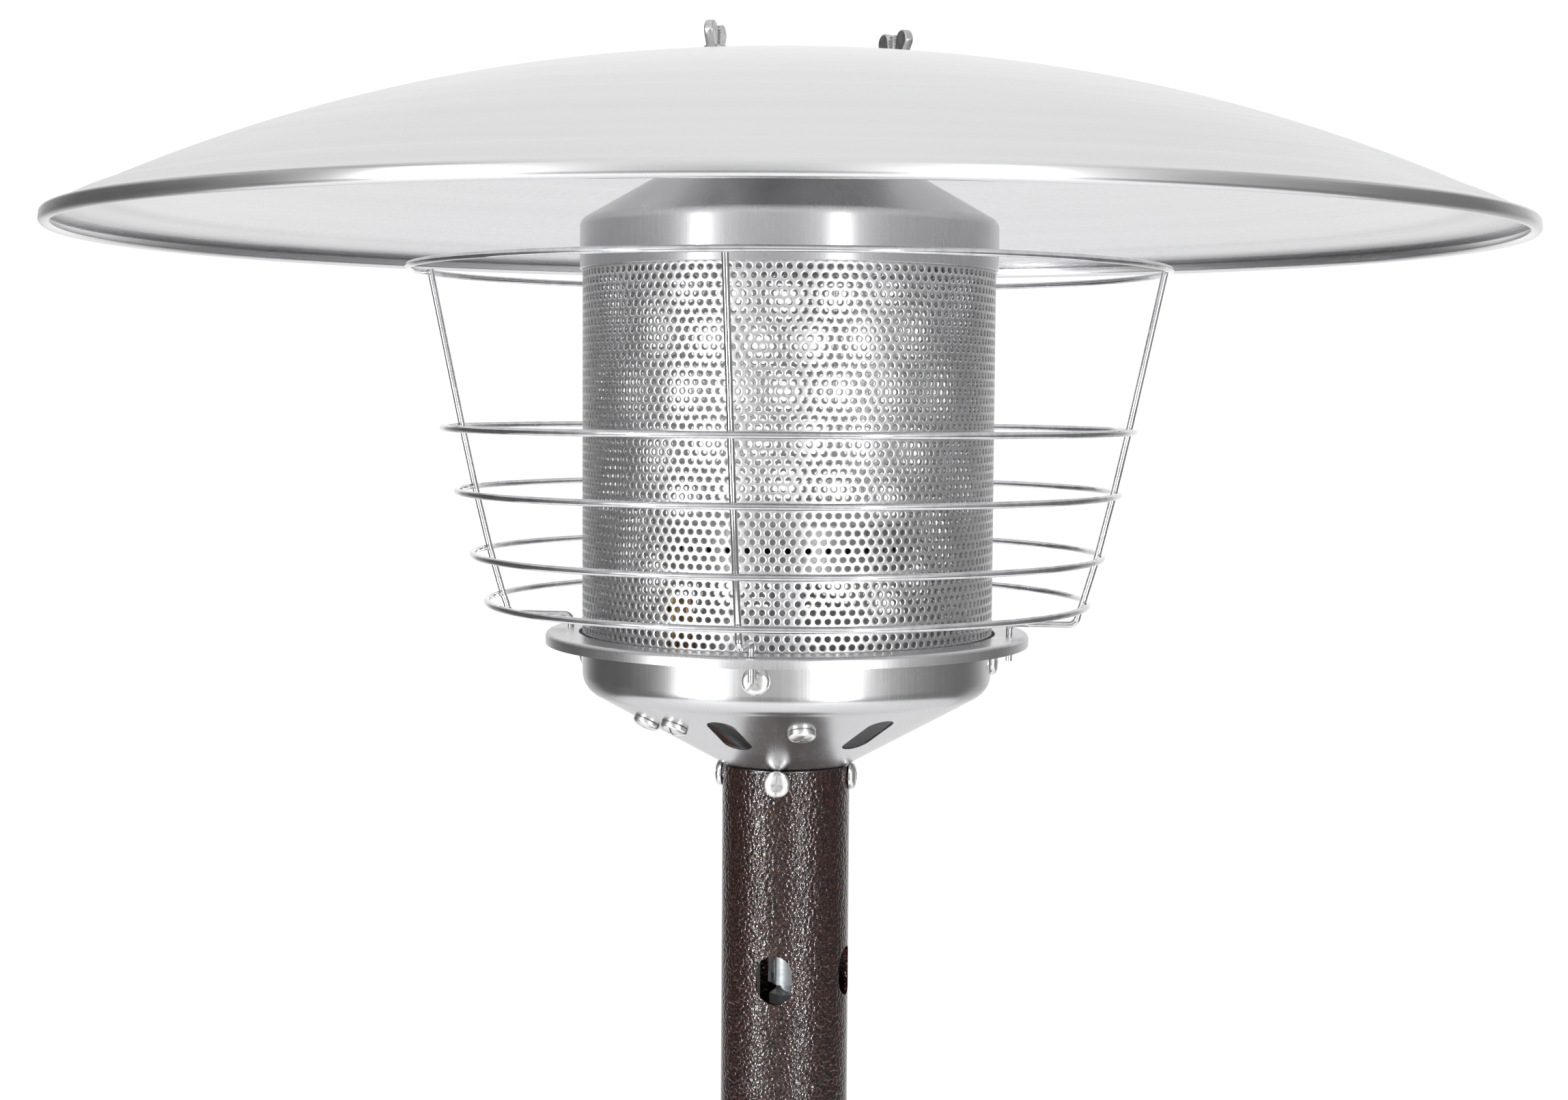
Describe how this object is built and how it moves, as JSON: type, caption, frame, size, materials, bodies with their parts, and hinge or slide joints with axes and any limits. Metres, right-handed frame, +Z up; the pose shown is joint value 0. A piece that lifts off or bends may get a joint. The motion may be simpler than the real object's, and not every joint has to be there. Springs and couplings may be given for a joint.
{
  "type": "patio heater",
  "caption": "Table-top gas patio heater: spun reflector on studs over a perforated emitter with a wire guard, burner bowl, hammered post, and a weighted drum base with a rear door",
  "frame": {"origin": "bottom centre of the object, on the surface it stands on, on the axis of the post", "axes": "+Z up along the post, -Y towards the side with the control knob, +X to the viewer's right when the knob faces them"},
  "size_m": [0.532, 0.532, 0.9641],
  "materials": {
    "reflector": "spun aluminium, fine concentric spin lines",
    "reflector_studs": "zinc plated threaded rod",
    "stud_spacers": "zinc plated tube",
    "reflector_washers": "zinc plated",
    "wing_nuts": "zinc plated casting",
    "top_cap": "satin stainless steel, brushed vertically on the skirt",
    "emitter_screen": "satin stainless steel with rows of round holes",
    "guard_hoops": "bright wire",
    "guard_uprights": "bright wire",
    "guard_flange": "satin stainless steel",
    "burner_bowl": "satin stainless steel",
    "bowl_screws": "bright pan head",
    "cone_screws": "bright pan head",
    "burner_drum": "plain steel",
    "mixer_tube": "plain steel",
    "burner_bracket": "plain steel",
    "pilot_bracket": "plain steel",
    "pilot_burner": "machined brass",
    "thermocouple": "steel tip",
    "igniter_electrode": "glazed ceramic with a steel wire",
    "orifice": "machined brass",
    "orifice_nut": "plated nut",
    "gas_pipe": "brass pipe",
    "pilot_tube": "soft aluminium tube",
    "thermocouple_lead": "copper capillary",
    "igniter_lead": "silicone insulation",
    "post": "hammered dark bronze paint",
    "post_bolts": "zinc plated pan head",
    "cylinder_housing": "hammered dark bronze paint",
    "post_foot_screws": "zinc plated pan head",
    "base_plate": "hammered dark bronze paint",
    "ballast": "plain iron disc",
    "ballast_bolt": "zinc plated",
    "housing_screws": "zinc plated pan head",
    "rubber_feet": "matt black rubber",
    "gas_cylinder": "plain green paint",
    "cylinder_valve": "machined brass",
    "cylinder_socket": "machined brass",
    "regulator_valve": "die cast",
    "pipe_fitting": "machined brass",
    "valve_bracket": "galvanised steel",
    "bracket_screws": "zinc plated pan head",
    "tilt_switch": "black moulding",
    "knob_bezel": "satin ring",
    "stem_collar": "machined brass",
    "valve_stem": "machined brass",
    "control_knob": "black phenolic moulding",
    "igniter_body": "black moulding",
    "igniter_nut": "black moulding",
    "igniter_button": "red moulding",
    "cylinder_door": "hammered dark bronze paint",
    "door_hinge_pins": "plain steel wire",
    "door_pull": "black moulding",
    "door_magnet": "magnet in a black holder"
  },
  "bodies": {
    "frame": {"reflector": "reflector", "reflector_studs": "reflector_studs", "stud_spacers": "stud_spacers", "reflector_washers": "reflector_washers", "wing_nuts": "wing_nuts", "top_cap": "top_cap", "emitter_screen": "emitter_screen", "guard_hoops": "guard_hoops", "guard_uprights": "guard_uprights", "guard_flange": "guard_flange", "burner_bowl": "burner_bowl", "bowl_screws": "bowl_screws", "cone_screws": "cone_screws", "burner_drum": "burner_drum", "mixer_tube": "mixer_tube", "burner_bracket": "burner_bracket", "pilot_bracket": "pilot_bracket", "pilot_burner": "pilot_burner", "thermocouple": "thermocouple", "igniter_electrode": "igniter_electrode", "orifice": "orifice", "orifice_nut": "orifice_nut", "gas_pipe": "gas_pipe", "pilot_tube": "pilot_tube", "thermocouple_lead": "thermocouple_lead", "igniter_lead": "igniter_lead", "post": "post", "post_bolts": "post_bolts", "cylinder_housing": "cylinder_housing", "post_foot_screws": "post_foot_screws", "base_plate": "base_plate", "ballast": "ballast", "ballast_bolt": "ballast_bolt", "housing_screws": "housing_screws", "rubber_feet": "rubber_feet", "gas_cylinder": "gas_cylinder", "cylinder_valve": "cylinder_valve", "cylinder_socket": "cylinder_socket", "regulator_valve": "regulator_valve", "pipe_fitting": "pipe_fitting", "valve_bracket": "valve_bracket", "bracket_screws": "bracket_screws", "tilt_switch": "tilt_switch", "knob_bezel": "knob_bezel", "igniter_body": "igniter_body", "igniter_nut": "igniter_nut", "door_hinge_pins": "door_hinge_pins", "door_magnet": "door_magnet"},
    "stem_slide": {"stem_collar": "stem_collar"},
    "knob": {"valve_stem": "valve_stem", "control_knob": "control_knob"},
    "igniter": {"igniter_button": "igniter_button"},
    "door": {"cylinder_door": "cylinder_door", "door_pull": "door_pull"}
  },
  "joints": [
    {"name": "knob_press", "type": "slide", "parent": "frame", "child": "stem_slide", "axis": [0, 1, 0], "range_m": [0, 0.003], "stiffness_N_per_m": 800, "springref_m": -0.002},
    {"name": "knob_turn", "type": "hinge", "parent": "stem_slide", "child": "knob", "pos_m": [0, -0.09, 0.25], "axis": [0, -1, 0], "range_deg": [0, 190]},
    {"name": "igniter_press", "type": "slide", "parent": "frame", "child": "igniter", "axis": [-0.6428, 0.766, 0], "range_m": [0, 0.006], "stiffness_N_per_m": 500, "springref_m": -0.002},
    {"name": "door_hinge", "type": "hinge", "parent": "frame", "child": "door", "pos_m": [-0.06268, 0.0541, 0.124], "axis": [0, 0, 1], "range_deg": [0, 110]}
  ]
}
